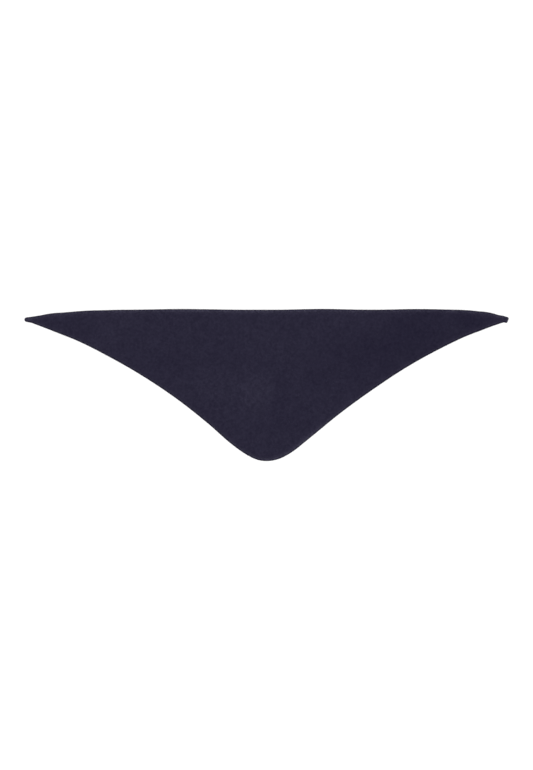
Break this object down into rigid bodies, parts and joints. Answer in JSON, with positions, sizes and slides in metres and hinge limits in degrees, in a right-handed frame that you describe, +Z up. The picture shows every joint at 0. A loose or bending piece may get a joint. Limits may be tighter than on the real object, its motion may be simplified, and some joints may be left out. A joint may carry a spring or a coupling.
{
  "type": "triangular knitted cashmere scarf, laid flat",
  "caption": "Thin triangular knitted scarf laid flat: a long straight edge, hollow-curved sides, a rounded point and narrow finished tips, with soft low folds.",
  "frame": {"origin": "on the surface the scarf lies on, under the middle of its box", "axes": "+X along the long straight edge, from the round left tip to the square right tip; +Y towards the long edge and away from the point; +Z up out of the cloth's face"},
  "size_m": [1.5001, 0.4703, 0.0077],
  "materials": {
    "jersey": "fine brushed cashmere jersey, navy, soft nap",
    "long_edge": "firm knitted edge, navy, a little lighter than the panel",
    "side_edge": "narrow knitted edge, navy",
    "tip_yarn": "firm bound yarn, navy"
  },
  "bodies": {
    "root": {"body_panel": "jersey", "long_edge_band": "long_edge", "side_edge_band": "side_edge", "left_tip": "tip_yarn", "right_tip": "tip_yarn"}
  },
  "joints": []
}
